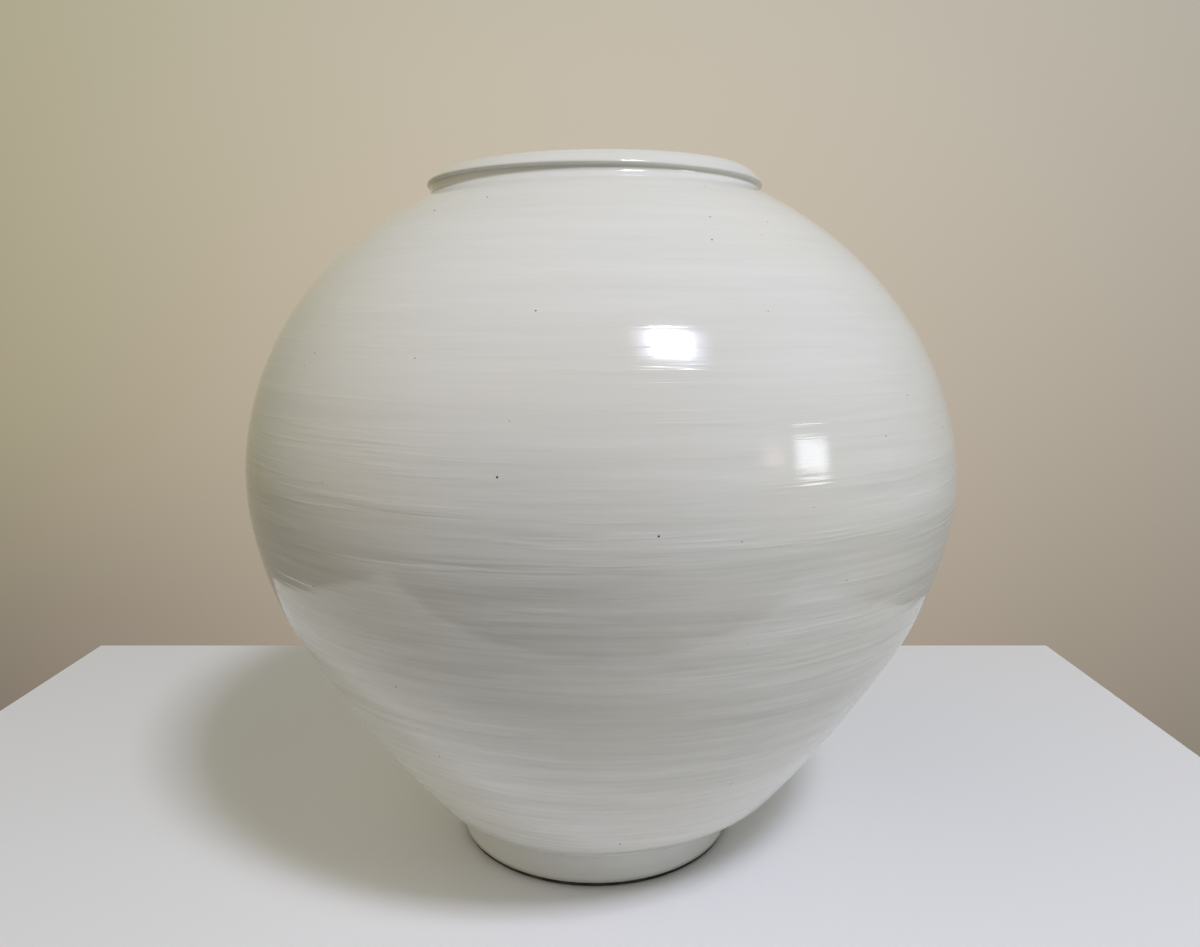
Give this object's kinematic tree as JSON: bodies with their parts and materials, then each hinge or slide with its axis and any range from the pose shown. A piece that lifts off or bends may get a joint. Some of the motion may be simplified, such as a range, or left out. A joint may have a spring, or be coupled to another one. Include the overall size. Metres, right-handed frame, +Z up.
{
  "type": "moon jar",
  "caption": "Round white glazed porcelain storage jar with a full belly, a low everted lip and a foot ring, open at the mouth for liquids, grain or flowers.",
  "frame": {"origin": "centre of the foot ring's bearing face, on the surface that the jar stands on", "axes": "+Z up along the jar's axis, +X to the right and +Y away from the viewer as in the picture"},
  "size_m": [0.4099, 0.41, 0.3993],
  "materials": {
    "porcelain": "bare fired porcelain clay",
    "slip": "fired luting slip",
    "glaze": "glossy clear glaze"
  },
  "bodies": {
    "root": {"foot_ring": "porcelain", "foot_slip": "slip", "lower_bowl": "porcelain", "waist_slip": "slip", "upper_bowl": "porcelain", "neck_slip": "slip", "mouth_rim": "porcelain", "glaze_coat": "glaze", "foot_well_glaze": "glaze"}
  },
  "joints": []
}
